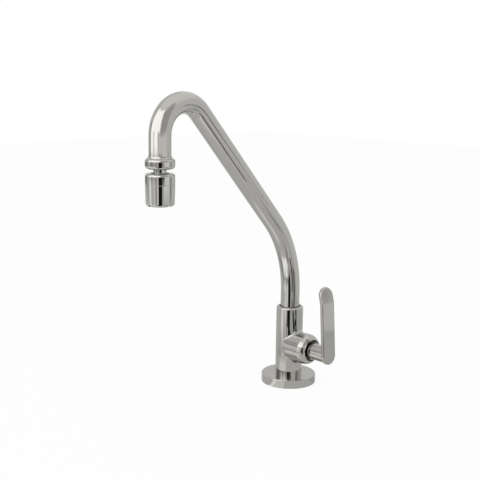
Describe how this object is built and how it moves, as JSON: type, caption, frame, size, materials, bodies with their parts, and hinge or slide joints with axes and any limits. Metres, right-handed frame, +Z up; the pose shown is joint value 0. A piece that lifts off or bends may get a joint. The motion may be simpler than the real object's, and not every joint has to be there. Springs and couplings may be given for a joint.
{
  "type": "kitchen tap",
  "caption": "Deck-mounted kitchen tap with a tall bent swivel spout, a quarter-turn side lever and a tilting, spinning aerator head.",
  "frame": {"origin": "centre of the flange's underside, on the worktop", "axes": "+Z up along the barrel, +X along the valve branch to the lever; at rest the spout leans out 85.2 degrees from +X, towards -Y"},
  "size_m": [0.0827, 0.2192, 0.3437],
  "materials": {
    "chrome": "polished chrome on brass",
    "brass": "turned, bare",
    "steel": "stainless, turned or stamped",
    "rubber": "moulded black rubber",
    "dark_plastic": "machined black acetal",
    "white_plastic": "moulded white acetal",
    "ceramic": "lapped alumina"
  },
  "bodies": {
    "base": {"valve_body": "chrome", "deck_flange": "chrome", "flange_pad": "rubber", "inlet_shank": "brass", "shank_seal": "rubber", "deck_pad": "rubber", "deck_washer": "steel", "deck_locknut": "brass", "cartridge_housing": "brass", "housing_seal": "rubber", "seat_seal": "rubber", "fixed_disc": "ceramic", "bonnet_ring": "chrome", "glide_washer": "dark_plastic", "spout_clip": "steel", "guide_bush": "dark_plastic"},
    "lever": {"lever_handle": "chrome", "lever_set_screw": "steel", "cartridge_stem": "brass", "moving_disc": "ceramic", "stem_seals": "rubber", "stem_clip": "steel"},
    "spout": {"spout_tube": "chrome", "spout_ferrule": "brass", "spout_seals": "rubber", "outlet_collar": "chrome", "collar_gasket": "rubber", "swivel_stem": "chrome"},
    "slip": {"slip_ring": "dark_plastic"},
    "aerator": {"swivel_cap": "chrome", "aerator_shell": "chrome", "ball_cup": "white_plastic", "head_gasket": "rubber", "mixing_core": "white_plastic", "wire_screens": "steel", "stream_grid": "white_plastic"}
  },
  "joints": [
    {"name": "spout_swivel", "type": "hinge", "parent": "base", "child": "spout", "pos_m": [0, 0, 0.079], "axis": [0, 0, 1], "continuous": true},
    {"name": "lever_turn", "type": "hinge", "parent": "base", "child": "lever", "pos_m": [0, 0, 0.0387], "axis": [1, 0, 0], "range_deg": [0, 90]},
    {"name": "aerator_spin", "type": "hinge", "parent": "spout", "child": "slip", "pos_m": [0.01503, -0.17903, 0.22], "axis": [0, 0, 1], "continuous": true},
    {"name": "aerator_tilt", "type": "hinge", "parent": "slip", "child": "aerator", "pos_m": [0.01503, -0.17903, 0.22], "axis": [0.9965, 0.0837, 0], "range_deg": [-15, 15]}
  ]
}
